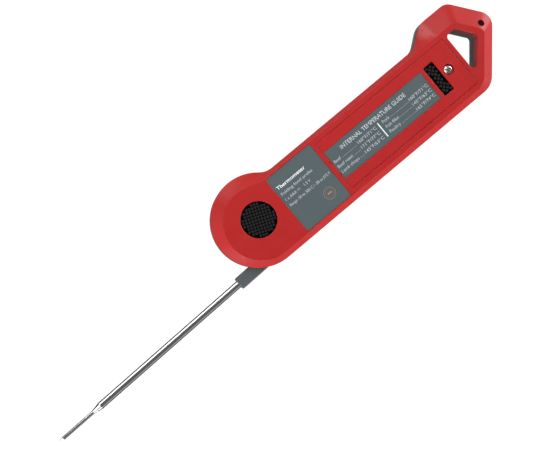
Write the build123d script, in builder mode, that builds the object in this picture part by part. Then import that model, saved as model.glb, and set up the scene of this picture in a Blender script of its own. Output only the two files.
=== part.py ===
"""Folding probe thermometer for meat, resting on its front face with the probe swung fully open.

Millimetres. The origin is on the probe's pivot axis, in the plane of the front face. +X runs along the
bar to the hanging loop, +Y points to the side that the probe folds along, and +Z out of the rear face.
"""

import os
from math import cos, radians, sin, sqrt

from build123d import *

os.makedirs("parts", exist_ok=True)

# ---- Case: overall ---------------------------------------------------------------------------
CASE_DEPTH = 19.0       # front face to rear plateau
PARTING_Z = 9.5         # where the front and rear shells meet, and the height of the probe's axis
SHOULDER_Z = 13.5       # top of the upright side wall, where the rear bevel starts
HEAD_RADIUS = 21.6
BAR_LOW_Y = -HEAD_RADIUS
BAR_TOP_Y = 14.25
FLOOR = 2.0             # thickness of the front shell's face
DECK_Z = 15.4           # underside of the rear shell's roof over the bar
SLIP = 0.05             # gap between flat faces of different bodies
FRONT_CHAMFER = 2.4

# The loop's outline, as the corners that its rounded sides meet at.
HUMP_FOOT = (105.25, BAR_TOP_Y)
HUMP_TOP = (114.4, 21.4)
LOOP_SHOULDER = (130.0, 21.4)
LOOP_APEX = (143.9, 3.45)
LOOP_HEEL = (122.45, BAR_LOW_Y)

# The same line round the flat rear plateau, inside the bevel.
PLATEAU_HEAD_Y = -1.6
PLATEAU_HEAD_RADIUS = 17.1
PLATEAU_LOW_Y = PLATEAU_HEAD_Y - PLATEAU_HEAD_RADIUS
PLATEAU_TOP_Y = 12.3

# ---- Hollows in the case ---------------------------------------------------------------------
CAVITY_X = (27.2, 115.3)
CAVITY_Y = (-19.3, 12.0)
BAR_CENTRE_Y = -3.25

# ---- Hanging loop ----------------------------------------------------------------------------
# The hanging hole's corners in the rear plateau, and the same corners in the front face. Its two slanted
# sides open out towards the front.
LOOP_HOLE_REAR = [(118.9, -13.5), (131.2, 0.9), (124.4, 9.6), (118.9, 9.6)]
LOOP_HOLE_FRONT = [(118.9, -14.1), (132.2, 1.5), (125.9, 9.6), (118.9, 9.6)]
LOOP_HOLE_RADIUS = 2.0
LANYARD_HOLE = (136.1, 3.8)
LANYARD_RADIUS = 1.6

# ---- Probe -----------------------------------------------------------------------------------
OPEN_ANGLE = 181.3      # from folded along the bar to fully open
PROBE_OFFSET = 16.15    # pivot axis to probe axis
HUB_RADIUS = 19.0
HUB_DEPTH = 6.0
HUB_GAP = 0.3           # hub to each shell, where the seals and the friction washer sit
POCKET_RADIUS = HUB_RADIUS + 0.4
BOOT_WIDTH = 5.9
BOOT_END = 25.55        # along the probe's axis, from the foot of the perpendicular to the pivot
TUBE_START = 12.0
TUBE_RADIUS = 1.75
TUBE_SEAT_RADIUS = 1.45  # where the tube is turned down to fit inside the boot
TUBE_BORE_RADIUS = 1.15
CONE_START = 107.8
CONE_END = 112.1
NEEDLE_RADIUS = 0.87
NEEDLE_BORE = 0.5
POINT_START = 129.7
TIP_END = 133.6
SLEEVE_RADIUS = 4.0
POST_RADIUS = 3.0
HUB_BORE_RADIUS = 4.05
SEAL_RING_RADIUS = 14.2
LEAD_RING = (9.0, 12.5)  # the hub's annular recess for the lead's service loop

HUB_LOW_Z = PARTING_Z - HUB_DEPTH / 2
HUB_HIGH_Z = PARTING_Z + HUB_DEPTH / 2
SLOT_LOW_Z = HUB_LOW_Z - HUB_GAP
SLOT_HIGH_Z = HUB_HIGH_Z + HUB_GAP
TIP_SLOT_HALF = 2.2
TIP_SLOT_END = 134.0

# ---- Battery bay -----------------------------------------------------------------------------
COVER_X = (41.45, 116.8)
COVER_Y = (-16.0, 9.5)
COVER_GAP = 0.15
COVER_LOW_Z = 17.2
COVER_SCREW = (110.2, -2.9)
BAR_MAGNET = (103.85, -3.2)
BAR_PAD_SIZE = (5.3, 15.8)
WELL_X = (48.2, 97.9)
WELL_WIDTH = 12.4
WELL_WALL = 1.1
WELL_FLOOR_Z = 6.2
CELL_RADIUS = 5.25
CELL_LENGTH = 43.5      # without the positive nub, which is 1 mm more
CELL_START_X = 52.6
CELL_Z = 11.7
TONGUE_Y = (-10.0, 3.5)
TONGUE_WIDTH = 4.0
TONGUE_REACH = 1.5
TONGUE_HIGH_Z = 18.0

# ---- Labels and pads -------------------------------------------------------------------------
LABEL_DEPTH = 0.35
LABEL_THICK = 0.25
REAR_LABEL_X = (13.5, 39.25)
REAR_LABEL_Y = (-18.3, 11.6)
GUIDE_LABEL_X = (41.8, 99.2)
GUIDE_LABEL_Y = (-10.9, 4.4)
PAD_DEPTH = 0.55
PAD_THICK = 0.5
ROUND_PAD_RADIUS = 8.25
ROUND_MAGNET_RADIUS = 7.5
ROUND_MAGNET_DEPTH = 2.8

# ---- Front: display, buttons and board --------------------------------------------------------
WINDOW_X = (36.0, 92.0)
WINDOW_Y = (-15.3, 8.8)
WINDOW_LEDGE = 2.5
WINDOW_THICK = 1.0
BUTTON_X = 101.0
BUTTON_YS = (2.6, -9.1)
BUTTON_RADIUS = 4.0
BUTTON_TRAVEL = 0.6
BOARD_X = (34.2, 108.6)
BOARD_Y = (-18.6, 11.3)
BOARD_LOW_Z = 3.95
BOARD_THICK = 1.0

# ---- Screws, all driven from the rear ---------------------------------------------------------
# Two case screws are under the rear label and two under the battery cover.
CASE_SCREWS = [(30.8, -15.8), (30.8, 8.4), (112.0, -11.1), (112.0, 4.2)]
BOSS_RADIUS = 2.8
BOSS_LOW_Z = 6.5
SCREW_RADIUS = 1.0
SCREW_CLEARANCE_RADIUS = 1.3
SCREW_HEAD_RADIUS = 2.05
SCREW_POCKET_RADIUS = 2.3
SCREW_FIT = 0.02        # gap between a screw and what it is driven into
CASE_SCREW_SEAT_Z = 15.6
CASE_SCREW_TOP_Z = 17.1
CASE_SCREW_END_Z = 3.2
PIVOT_SEAT_Z = 14.2
PIVOT_SCREW_TOP_Z = 15.5
PIVOT_SCREW_END_Z = 2.6

# ---- Seal between the shells ------------------------------------------------------------------
SEAL_INSET = 0.5
SEAL_WIDTH = 0.8


def middle(span):
    """The middle of a (low, high) pair."""
    return (span[0] + span[1]) / 2


def width(span):
    """The width of a (low, high) pair."""
    return span[1] - span[0]


def grown(span, by):
    """A (low, high) pair made larger by the same amount at both ends."""
    return (span[0] - by, span[1] + by)


def block(x, y, z, mode=Mode.ADD, corner=0.0):
    """A block between (low, high) pairs, with its upright corners rounded, in the part being built."""
    with BuildSketch(Plane.XY.offset(z[0])) as base:
        with Locations((middle(x), middle(y))):
            if corner > 0:
                RectangleRounded(width(x), width(y), corner)
            else:
                Rectangle(width(x), width(y))
    extrude(base.sketch, amount=width(z), mode=mode)


def disc(centre, radius, z, mode=Mode.ADD):
    """A cylinder along Z between two heights, in the part being built."""
    with BuildSketch(Plane.XY.offset(z[0])) as base:
        with Locations(centre):
            Circle(radius)
    extrude(base.sketch, amount=width(z), mode=mode)


def ring(centre, outer, inner, z, mode=Mode.ADD):
    """A hollow cylinder along Z between two heights, in the part being built."""
    with BuildSketch(Plane.XY.offset(z[0])) as base:
        with Locations(centre):
            Circle(outer)
            Circle(inner, mode=Mode.SUBTRACT)
    extrude(base.sketch, amount=width(z), mode=mode)


def frame(x, y, z, wall, corner, mode=Mode.ADD):
    """A rectangular ring between (low, high) pairs, with a wall of even width inside them."""
    with BuildSketch(Plane.XY.offset(z[0])) as base:
        with Locations((middle(x), middle(y))):
            RectangleRounded(width(x), width(y), corner)
            inner_corner = max(corner - wall, 0.5)
            RectangleRounded(width(x) - 2 * wall, width(y) - 2 * wall, inner_corner, mode=Mode.SUBTRACT)
    extrude(base.sketch, amount=width(z), mode=mode)


def save(builder, name):
    """Label a finished piece and write it to its own file."""
    builder.part.label = name
    export_step(builder.part, f"parts/{name}.step")


# ---- Outlines ----------------------------------------------------------------------------------
def case_outline(z, head_y, head_radius, top_y, neck_radius, corners, radii):
    """A face at height z: the head's circle, the neck's arc, then the bar and the loop's rounded corners.

    The neck's arc touches the head's circle from outside and the bar's upper edge from above, and the
    bar's lower edge touches the bottom of the head's circle.
    """
    reach = head_radius + neck_radius
    rise = top_y + neck_radius - head_y
    neck_x = sqrt(reach**2 - rise**2)
    share = head_radius / reach
    neck_start = (neck_x * share, head_y + rise * share)
    with BuildSketch(Plane.XY.offset(z)) as outline:
        with BuildLine():
            FilletPolyline((neck_x, top_y), *corners, (0, head_y - head_radius), radius=radii)
            ThreePointArc((0, head_y - head_radius), (-head_radius, head_y), neck_start)
            TangentArc((neck_x, top_y), neck_start, tangent=(-1, 0))
        make_face()
    return outline.sketch


def side_outline(z):
    """The case's full outline, at the upright side wall."""
    corners = [HUMP_FOOT, HUMP_TOP, LOOP_SHOULDER, LOOP_APEX, LOOP_HEEL]
    return case_outline(z, 0, HEAD_RADIUS, BAR_TOP_Y, 9, corners, [7, 8, 6, 6.5, 10])


def plateau_outline(z):
    """The outline of the flat rear plateau. Over the hump its edge runs almost straight on."""
    corners = [(107.5, PLATEAU_TOP_Y), (115.5, 12.1), (125.95, 12.2), (135.05, 0.6), (118.55, PLATEAU_LOW_Y)]
    return case_outline(
        z, PLATEAU_HEAD_Y, PLATEAU_HEAD_RADIUS, PLATEAU_TOP_Y, 15, corners, [30, 30, 4, 3, 8]
    )


def loop_hole_outline(z):
    """The hanging hole at height z: a slanted triangle with its top cut off."""
    rise = z / CASE_DEPTH
    corners = []
    for front, rear in zip(LOOP_HOLE_FRONT, LOOP_HOLE_REAR):
        corners.append((front[0] + (rear[0] - front[0]) * rise, front[1] + (rear[1] - front[1]) * rise))
    with BuildSketch(Plane.XY.offset(z)) as outline:
        with BuildLine():
            FilletPolyline(*corners, radius=LOOP_HOLE_RADIUS, close=True)
        make_face()
    return outline.sketch


def cut_loop_holes(z):
    """Cut the hanging hole and the round lanyard hole."""
    loft([loop_hole_outline(z[0]), loop_hole_outline(z[1])], ruled=True, mode=Mode.SUBTRACT)
    disc(LANYARD_HOLE, LANYARD_RADIUS, z, Mode.SUBTRACT)


PROBE_DIRECTION = (cos(radians(OPEN_ANGLE)), sin(radians(OPEN_ANGLE)))
PROBE_FOOT = (-PROBE_OFFSET * PROBE_DIRECTION[1], PROBE_OFFSET * PROBE_DIRECTION[0])


def probe_plane(z):
    """A plane at height z: local x along the open probe, local y away from the pivot."""
    return Plane(origin=(*PROBE_FOOT, z), x_dir=(*PROBE_DIRECTION, 0), z_dir=(0, 0, 1))


def cut_moving_slots(z_low, z_high):
    """Cut the room that the hub, the boot and the folded tip need from the shell being built."""
    hub_z = (max(z_low, SLOT_LOW_Z), min(z_high, SLOT_HIGH_Z))
    tip_z = (max(z_low, PARTING_Z - TIP_SLOT_HALF), min(z_high, PARTING_Z + TIP_SLOT_HALF))
    disc((0, 0), POCKET_RADIUS, hub_z, Mode.SUBTRACT)
    # Head's open side: from the open boot's outer edge round to the folded boot.
    with BuildSketch(probe_plane(hub_z[0])) as open_side:
        with Locations((20, -17.5)):
            Rectangle(40, 2 * (17.5 + BOOT_WIDTH / 2 + 0.15))
    extrude(open_side.sketch, amount=width(hub_z), mode=Mode.SUBTRACT)
    boot_floor_y = PROBE_OFFSET - BOOT_WIDTH / 2 - HUB_GAP
    block((-1, BOOT_END + 0.5), (boot_floor_y, 30), hub_z, Mode.SUBTRACT)
    # Slot in the hump for the probe's needle and tip.
    block((95, TIP_SLOT_END), (BAR_TOP_Y, 30), tip_z, Mode.SUBTRACT)


# ---- Rear shell --------------------------------------------------------------------------------
SEAL_X = grown(CAVITY_X, SEAL_INSET + SEAL_WIDTH)
SEAL_Y = grown(CAVITY_Y, SEAL_INSET + SEAL_WIDTH)
WELL_Y = (BAR_CENTRE_Y - WELL_WIDTH / 2, BAR_CENTRE_Y + WELL_WIDTH / 2)
MAGNET_TRAY_X = (BAR_MAGNET[0] - 4.1, BAR_MAGNET[0] + 4.1)
MAGNET_TRAY_Y = (BAR_MAGNET[1] - 9.3, BAR_MAGNET[1] + 9.3)
COVER_BOSS_Z = 16.2
BAY_SEAL_X = (COVER_X[0] + 3.5, COVER_X[1] - 1.2)
BAY_SEAL_Y = grown(COVER_Y, -1.2)

with BuildPart() as rear_shell:
    extrude(side_outline(PARTING_Z), amount=SHOULDER_Z - PARTING_Z)
    loft([side_outline(SHOULDER_Z).face(), plateau_outline(CASE_DEPTH).face()], ruled=True)
    # Hollow over the bar, then the battery well, magnet tray and screw bosses standing in it.
    block(CAVITY_X, CAVITY_Y, (PARTING_Z, DECK_Z), Mode.SUBTRACT, corner=2)
    block(grown(WELL_X, WELL_WALL), grown(WELL_Y, WELL_WALL), (WELL_FLOOR_Z - 1.0, DECK_Z))
    block(grown(MAGNET_TRAY_X, 1), grown(MAGNET_TRAY_Y, 1), (DECK_Z - 1.4, DECK_Z))
    for screw in CASE_SCREWS:
        disc(screw, BOSS_RADIUS, (BOSS_LOW_Z, DECK_Z))
    disc(COVER_SCREW, 4.7, (PARTING_Z + 0.5, DECK_Z))
    # Battery cover's recess with its tongue pockets, and the openings below it.
    block(
        grown(COVER_X, COVER_GAP), grown(COVER_Y, COVER_GAP),
        (COVER_LOW_Z - SLIP, CASE_DEPTH), Mode.SUBTRACT, corner=1.0,
    )
    for tongue_y in TONGUE_Y:
        half = TONGUE_WIDTH / 2 + 0.3
        block(
            (COVER_X[0] - TONGUE_REACH - 1.2, COVER_X[0] + 2.6), (tongue_y - half, tongue_y + half),
            (16.4, TONGUE_HIGH_Z + SLIP), Mode.SUBTRACT,
        )
    block(WELL_X, WELL_Y, (WELL_FLOOR_Z, CASE_DEPTH), Mode.SUBTRACT, corner=1)
    block(MAGNET_TRAY_X, MAGNET_TRAY_Y, (DECK_Z - 0.4, CASE_DEPTH), Mode.SUBTRACT, corner=1)
    disc(COVER_SCREW, 3.7, (COVER_BOSS_Z - 0.1, CASE_DEPTH), Mode.SUBTRACT)
    disc(COVER_SCREW, 2.5, (15.3, CASE_DEPTH), Mode.SUBTRACT)
    disc(COVER_SCREW, 1.4, (PARTING_Z + 1.5, CASE_DEPTH), Mode.SUBTRACT)
    for screw in CASE_SCREWS:
        disc(screw, SCREW_CLEARANCE_RADIUS, (BOSS_LOW_Z, CASE_DEPTH), Mode.SUBTRACT)
        disc(screw, SCREW_POCKET_RADIUS, (CASE_SCREW_SEAT_Z, CASE_DEPTH), Mode.SUBTRACT)
    # Battery seal's groove round the well and the magnet tray.
    frame(BAY_SEAL_X, BAY_SEAL_Y, (COVER_LOW_Z - 0.75, COVER_LOW_Z), 0.9, 2, Mode.SUBTRACT)
    # Rear label's recess, and the round magnet's pocket over the pivot.
    block(REAR_LABEL_X, REAR_LABEL_Y, (CASE_DEPTH - LABEL_DEPTH, CASE_DEPTH), Mode.SUBTRACT, corner=1.2)
    disc((0, 0), ROUND_PAD_RADIUS + 0.1, (CASE_DEPTH - PAD_DEPTH, CASE_DEPTH), Mode.SUBTRACT)
    pocket_low = CASE_DEPTH - PAD_DEPTH - ROUND_MAGNET_DEPTH - 0.1
    disc((0, 0), ROUND_MAGNET_RADIUS + 0.1, (pocket_low, CASE_DEPTH), Mode.SUBTRACT)
    cut_moving_slots(PARTING_Z, SLOT_HIGH_Z)
    # Pivot post, with the pivot screw's hole through it and a seat for its head under the magnet.
    disc((0, 0), POST_RADIUS, (SLOT_LOW_Z + SLIP, SLOT_HIGH_Z))
    disc((0, 0), SCREW_CLEARANCE_RADIUS, (SLOT_LOW_Z, pocket_low), Mode.SUBTRACT)
    disc((0, 0), SCREW_POCKET_RADIUS, (PIVOT_SEAT_Z, pocket_low), Mode.SUBTRACT)
    cut_loop_holes((PARTING_Z, CASE_DEPTH))
save(rear_shell, "rear_shell")

# ---- Front shell -------------------------------------------------------------------------------
with BuildPart() as front_shell:
    extrude(side_outline(0), amount=PARTING_Z)
    chamfer(front_shell.faces().sort_by(Axis.Z)[0].edges(), length=FRONT_CHAMFER)
    block(CAVITY_X, CAVITY_Y, (FLOOR, PARTING_Z), Mode.SUBTRACT, corner=2)
    # Window: a recess from the front, and a smaller opening that leaves a ledge.
    block(WINDOW_X, WINDOW_Y, (0, 1.4), Mode.SUBTRACT, corner=2)
    block(grown(WINDOW_X, -WINDOW_LEDGE), grown(WINDOW_Y, -WINDOW_LEDGE), (0, FLOOR), Mode.SUBTRACT, corner=1)
    for button_y in BUTTON_YS:
        disc((BUTTON_X, button_y), BUTTON_RADIUS + 0.3, (0, FLOOR), Mode.SUBTRACT)
    # Posts for the case screws, and blind holes for them and for the pivot screw.
    for screw in CASE_SCREWS:
        disc(screw, BOSS_RADIUS, (FLOOR, BOSS_LOW_Z - SLIP))
        disc(screw, SCREW_RADIUS + SCREW_FIT, (CASE_SCREW_END_Z - 0.2, BOSS_LOW_Z), Mode.SUBTRACT)
    disc((0, 0), SCREW_RADIUS + SCREW_FIT, (PIVOT_SCREW_END_Z - 0.2, PARTING_Z), Mode.SUBTRACT)
    # Groove for the seal between the shells.
    frame(SEAL_X, SEAL_Y, (PARTING_Z - 0.8, PARTING_Z), SEAL_WIDTH, 2.8, Mode.SUBTRACT)
    cut_moving_slots(SLOT_LOW_Z, PARTING_Z)
    # Groove in the head's deck that carries the lead from the hub to the board.
    block((SLEEVE_RADIUS + 0.6, CAVITY_X[0] + 1), (-1.1, 1.1), (3.8, SLOT_LOW_Z), Mode.SUBTRACT)
    cut_loop_holes((0, PARTING_Z))
save(front_shell, "front_shell")

with BuildPart() as shell_seal:
    frame(grown(SEAL_X, -0.05), grown(SEAL_Y, -0.05), (PARTING_Z - 0.78, PARTING_Z - 0.02), SEAL_WIDTH - 0.1, 2.75)
save(shell_seal, "shell_seal")


# ---- Screws ------------------------------------------------------------------------------------
def cross_recess(centre, z, depth, span):
    """Cut a cross recess downwards from height z, in the part being built."""
    with BuildSketch(Plane.XY.offset(z)) as recess:
        with Locations(centre):
            Rectangle(span, span * 0.27)
            Rectangle(span * 0.27, span)
    extrude(recess.sketch, amount=-depth, mode=Mode.SUBTRACT)


def screw_from_rear(centre, end_z, seat_z, top_z):
    """A pan-head screw with its point down, in the part being built."""
    disc(centre, SCREW_RADIUS, (end_z, seat_z + SCREW_FIT))
    disc(centre, SCREW_HEAD_RADIUS, (seat_z + SCREW_FIT, top_z))
    cross_recess(centre, top_z, 0.9, 2.4)


with BuildPart() as case_screws:
    for screw in CASE_SCREWS:
        screw_from_rear(screw, CASE_SCREW_END_Z, CASE_SCREW_SEAT_Z, CASE_SCREW_TOP_Z)
save(case_screws, "case_screws")

with BuildPart() as pivot_screw:
    screw_from_rear((0, 0), PIVOT_SCREW_END_Z, PIVOT_SEAT_Z, PIVOT_SCREW_TOP_Z)
save(pivot_screw, "pivot_screw")

# ---- Pivot hardware ----------------------------------------------------------------------------
with BuildPart() as pivot_sleeve:
    ring((0, 0), SLEEVE_RADIUS, POST_RADIUS + 0.02, (SLOT_LOW_Z + SLIP, SLOT_HIGH_Z - SLIP))
save(pivot_sleeve, "pivot_sleeve")

with BuildPart() as friction_washer:
    ring((0, 0), 8.4, SLEEVE_RADIUS + 0.3, (SLOT_LOW_Z + 0.01, HUB_LOW_Z - SLIP))
save(friction_washer, "friction_washer")

# ---- Probe hub with its boot -------------------------------------------------------------------
LEAD_CHANNEL_Z = 8.7
HUB_MAGNET = (16.6, 0.0)

with BuildPart() as probe_hub:
    disc((0, 0), HUB_RADIUS, (HUB_LOW_Z, HUB_HIGH_Z))
    with BuildSketch(probe_plane(HUB_LOW_Z)):
        with Locations((BOOT_END / 2, 0)):
            Rectangle(BOOT_END, BOOT_WIDTH)
    extrude(amount=HUB_DEPTH)
    boot_edges = probe_hub.edges().filter_by(lambda edge: edge.center().length > HUB_RADIUS + 3)
    fillet(boot_edges, radius=0.7)
    disc((0, 0), HUB_BORE_RADIUS, (HUB_LOW_Z, HUB_HIGH_Z), Mode.SUBTRACT)
    # Recess for the lead's service loop, and a groove for a seal ring on each face.
    ring((0, 0), LEAD_RING[1], LEAD_RING[0], (HUB_LOW_Z, HUB_LOW_Z + 3.3), Mode.SUBTRACT)
    for groove_z in (HUB_LOW_Z, HUB_HIGH_Z - 0.8):
        groove = (groove_z, groove_z + 0.8)
        ring((0, 0), SEAL_RING_RADIUS + 0.55, SEAL_RING_RADIUS - 0.55, groove, Mode.SUBTRACT)
    # Bore for the tube, the lead's channel into the recess, and the fold magnet's pocket.
    with BuildSketch(Plane(origin=(*PROBE_FOOT, PARTING_Z), z_dir=(*PROBE_DIRECTION, 0)).offset(TUBE_START)):
        Circle(TUBE_SEAT_RADIUS + 0.02)
    extrude(amount=BOOT_END, mode=Mode.SUBTRACT)
    with BuildSketch(Plane(origin=(*PROBE_FOOT, PARTING_Z), z_dir=(*PROBE_DIRECTION, 0)).offset(3)):
        Circle(1.2)
    extrude(amount=TUBE_START, mode=Mode.SUBTRACT)
    with BuildSketch(Plane(origin=(*PROBE_FOOT, LEAD_CHANNEL_Z), z_dir=(*PROBE_FOOT, 0)).offset(-5.0)):
        with Locations((0, 0)):
            Circle(0.9)
    extrude(amount=5.6, mode=Mode.SUBTRACT)
    disc(HUB_MAGNET, 1.6, (HUB_HIGH_Z - 3.1, HUB_HIGH_Z), Mode.SUBTRACT)
save(probe_hub, "probe_hub")

with BuildPart() as hub_seals:
    for ring_z in (HUB_LOW_Z + 0.27, HUB_HIGH_Z - 0.27):
        with BuildSketch(Plane.XZ):
            with Locations((SEAL_RING_RADIUS, ring_z)):
                Circle(0.5)
        revolve(axis=Axis.Z)
save(hub_seals, "hub_seals")

with BuildPart() as hub_magnet:
    disc(HUB_MAGNET, 1.5, (HUB_HIGH_Z - 3.05, HUB_HIGH_Z - 0.1))
save(hub_magnet, "hub_magnet")

# ---- Probe tube, cone and needle ---------------------------------------------------------------
PROBE_AXIS = Axis((*PROBE_FOOT, PARTING_Z), (*PROBE_DIRECTION, 0))

with BuildPart() as probe_tube:
    with BuildSketch(probe_plane(PARTING_Z)):
        with BuildLine():
            Polyline(
                (TUBE_START, TUBE_BORE_RADIUS), (TUBE_START, TUBE_SEAT_RADIUS),
                (BOOT_END + 0.02, TUBE_SEAT_RADIUS), (BOOT_END + 0.02, TUBE_RADIUS),
                (CONE_START, TUBE_RADIUS), (CONE_END, NEEDLE_RADIUS),
                (POINT_START, NEEDLE_RADIUS), (TIP_END, 0),
                (POINT_START, 0), (POINT_START, NEEDLE_BORE),
                (CONE_END, NEEDLE_BORE), (CONE_START, TUBE_BORE_RADIUS),
                close=True,
            )
        make_face()
    revolve(axis=PROBE_AXIS)
save(probe_tube, "probe_tube")

with BuildPart() as thermocouple_wires:
    for side in (-0.24, 0.24):
        with BuildSketch(Plane(origin=(*PROBE_FOOT, PARTING_Z + side), z_dir=(*PROBE_DIRECTION, 0)).offset(4)):
            Circle(0.15)
        extrude(amount=POINT_START - 5.2)
save(thermocouple_wires, "thermocouple_wires")

with BuildPart() as thermocouple_junction:
    with BuildSketch(Plane(origin=(*PROBE_FOOT, PARTING_Z), z_dir=(*PROBE_DIRECTION, 0)).offset(POINT_START - 1.15)):
        Circle(0.42)
    extrude(amount=1.1)
save(thermocouple_junction, "thermocouple_junction")

# The lead's service loop lies in the hub's recess and turns into the channel to the tube.
LEAD_LOOP_RADIUS = middle(LEAD_RING)
with BuildPart() as probe_lead:
    with BuildSketch(Plane.XZ):
        with Locations((LEAD_LOOP_RADIUS, LEAD_CHANNEL_Z)):
            Circle(0.6)
    revolve(axis=Axis.Z, revolution_arc=OPEN_ANGLE + 90)
    with BuildSketch(Plane(origin=(*PROBE_FOOT, LEAD_CHANNEL_Z), z_dir=(*PROBE_FOOT, 0)).offset(-5.4)):
        Circle(0.6)
    extrude(amount=5.0)
save(probe_lead, "probe_lead")

with BuildPart() as board_lead:
    with BuildSketch(Plane.YZ.offset(SLEEVE_RADIUS + 0.9)):
        with Locations((0, BOARD_LOW_Z + BOARD_THICK + 0.63)):
            Circle(0.6)
    extrude(amount=BOARD_X[0] - SLEEVE_RADIUS + 1)
save(board_lead, "board_lead")

# ---- Rear label, round magnet and its pad ------------------------------------------------------
LABEL_Z = (CASE_DEPTH - LABEL_DEPTH, CASE_DEPTH - LABEL_DEPTH + LABEL_THICK)

with BuildPart() as rear_label:
    block(grown(REAR_LABEL_X, -0.1), grown(REAR_LABEL_Y, -0.1), LABEL_Z, corner=1.1)
save(rear_label, "rear_label")

PAD_Z = (CASE_DEPTH - PAD_DEPTH, CASE_DEPTH - PAD_DEPTH + PAD_THICK)

with BuildPart() as round_magnet:
    disc((0, 0), ROUND_MAGNET_RADIUS, (PAD_Z[0] - SLIP - ROUND_MAGNET_DEPTH, PAD_Z[0] - SLIP))
save(round_magnet, "round_magnet")

with BuildPart() as round_magnet_pad:
    disc((0, 0), ROUND_PAD_RADIUS, PAD_Z)
    chamfer(round_magnet_pad.faces().sort_by(Axis.Z)[-1].edges(), length=0.15)
save(round_magnet_pad, "round_magnet_pad")

# ---- Battery cover -----------------------------------------------------------------------------
with BuildPart() as battery_cover:
    block(COVER_X, COVER_Y, (COVER_LOW_Z, CASE_DEPTH), corner=0.8)
    chamfer(battery_cover.faces().sort_by(Axis.Z)[-1].edges(), length=0.15)
    for tongue_y in TONGUE_Y:
        block(
            (COVER_X[0] - TONGUE_REACH, COVER_X[0] + 1.5),
            (tongue_y - TONGUE_WIDTH / 2, tongue_y + TONGUE_WIDTH / 2), (COVER_LOW_Z, TONGUE_HIGH_Z),
        )
    # Tray for the bar magnet, and boss for the screw, on the underside.
    block(grown(MAGNET_TRAY_X, -0.5), grown(MAGNET_TRAY_Y, -0.5), (15.3, COVER_LOW_Z), corner=1)
    disc(COVER_SCREW, 3.3, (COVER_BOSS_Z, COVER_LOW_Z))
    block(GUIDE_LABEL_X, GUIDE_LABEL_Y, (CASE_DEPTH - LABEL_DEPTH, CASE_DEPTH), Mode.SUBTRACT, corner=0.5)
    pad_x = (BAR_MAGNET[0] - BAR_PAD_SIZE[0] / 2, BAR_MAGNET[0] + BAR_PAD_SIZE[0] / 2)
    pad_y = (BAR_MAGNET[1] - BAR_PAD_SIZE[1] / 2, BAR_MAGNET[1] + BAR_PAD_SIZE[1] / 2)
    block(grown(pad_x, 0.1), grown(pad_y, 0.1), (PAD_Z[0], CASE_DEPTH), Mode.SUBTRACT, corner=0.4)
    block(grown(pad_x, -0.2), grown(pad_y, -0.2), (15.85, CASE_DEPTH), Mode.SUBTRACT)
    disc(COVER_SCREW, 2.55, (17.55, CASE_DEPTH), Mode.SUBTRACT)
    disc(COVER_SCREW, SCREW_RADIUS + 0.25, (COVER_BOSS_Z, CASE_DEPTH), Mode.SUBTRACT)
save(battery_cover, "battery_cover")

with BuildPart() as guide_label:
    block(grown(GUIDE_LABEL_X, -0.1), grown(GUIDE_LABEL_Y, -0.1), LABEL_Z, corner=0.4)
save(guide_label, "guide_label")

with BuildPart() as bar_magnet:
    block(grown(pad_x, -0.3), grown(pad_y, -0.3), (15.9, PAD_Z[0] - SLIP))
save(bar_magnet, "bar_magnet")

with BuildPart() as bar_magnet_pad:
    block(pad_x, pad_y, PAD_Z, corner=0.3)
save(bar_magnet_pad, "bar_magnet_pad")

with BuildPart() as battery_seal:
    frame(grown(BAY_SEAL_X, -0.05), grown(BAY_SEAL_Y, -0.05), (COVER_LOW_Z - 0.73, COVER_LOW_Z - 0.03), 0.8, 1.95)
save(battery_seal, "battery_seal")

# Half section of the cover screw's domed head: its rim, a point on the dome, and the top.
COVER_SCREW_RIM = (2.15, 18.2)
COVER_SCREW_DOME = (1.12, 18.76)
COVER_SCREW_TOP = (0, 18.95)
with BuildPart() as battery_cover_screw:
    with BuildSketch(Plane(origin=(*COVER_SCREW, 0), x_dir=(1, 0, 0), z_dir=(0, -1, 0))):
        with BuildLine():
            Polyline(
                COVER_SCREW_TOP, (0, 11.3), (0.4, 11.3), (SCREW_RADIUS, 12.2), (SCREW_RADIUS, 17.6),
                (COVER_SCREW_RIM[0], 17.6), COVER_SCREW_RIM,
            )
            ThreePointArc(COVER_SCREW_RIM, COVER_SCREW_DOME, COVER_SCREW_TOP)
        make_face()
    revolve(axis=Axis((*COVER_SCREW, 0), (0, 0, 1)))
    cross_recess(COVER_SCREW, 19.0, 1.0, 2.6)
save(battery_cover_screw, "battery_cover_screw")

with BuildPart() as cover_screw_washer:
    ring(COVER_SCREW, 2.0, SCREW_RADIUS + 0.02, (15.6, COVER_BOSS_Z - SLIP))
save(cover_screw_washer, "cover_screw_washer")

# ---- Cell and its contacts ---------------------------------------------------------------------
CELL_END_X = CELL_START_X + CELL_LENGTH


def along_bar(x, radius, length):
    """A cylinder along X on the cell's axis, in the part being built."""
    with BuildSketch(Plane.YZ.offset(x)) as section:
        with Locations((BAR_CENTRE_Y, CELL_Z)):
            Circle(radius)
    extrude(section.sketch, amount=length)


with BuildPart() as aaa_cell:
    along_bar(CELL_START_X, 4.3, 0.3)
    along_bar(CELL_START_X + 0.3, CELL_RADIUS - 0.15, CELL_LENGTH - 0.6)
    along_bar(CELL_END_X - 0.3, 4.3, 0.3)
    along_bar(CELL_END_X, 1.9, 1.0)
save(aaa_cell, "aaa_cell")

with BuildPart() as aaa_cell_sleeve:
    with BuildSketch(Plane.YZ.offset(CELL_START_X + 0.4)):
        with Locations((BAR_CENTRE_Y, CELL_Z)):
            Circle(CELL_RADIUS)
            Circle(CELL_RADIUS - 0.14, mode=Mode.SUBTRACT)
    extrude(amount=CELL_LENGTH - 0.8)
save(aaa_cell_sleeve, "aaa_cell_sleeve")

with BuildPart() as positive_contact:
    block(
        (CELL_END_X + 1.05, CELL_END_X + 1.35), (BAR_CENTRE_Y - 4, BAR_CENTRE_Y + 4),
        (WELL_FLOOR_Z + 0.2, CELL_Z + 4),
    )
save(positive_contact, "positive_contact")

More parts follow.
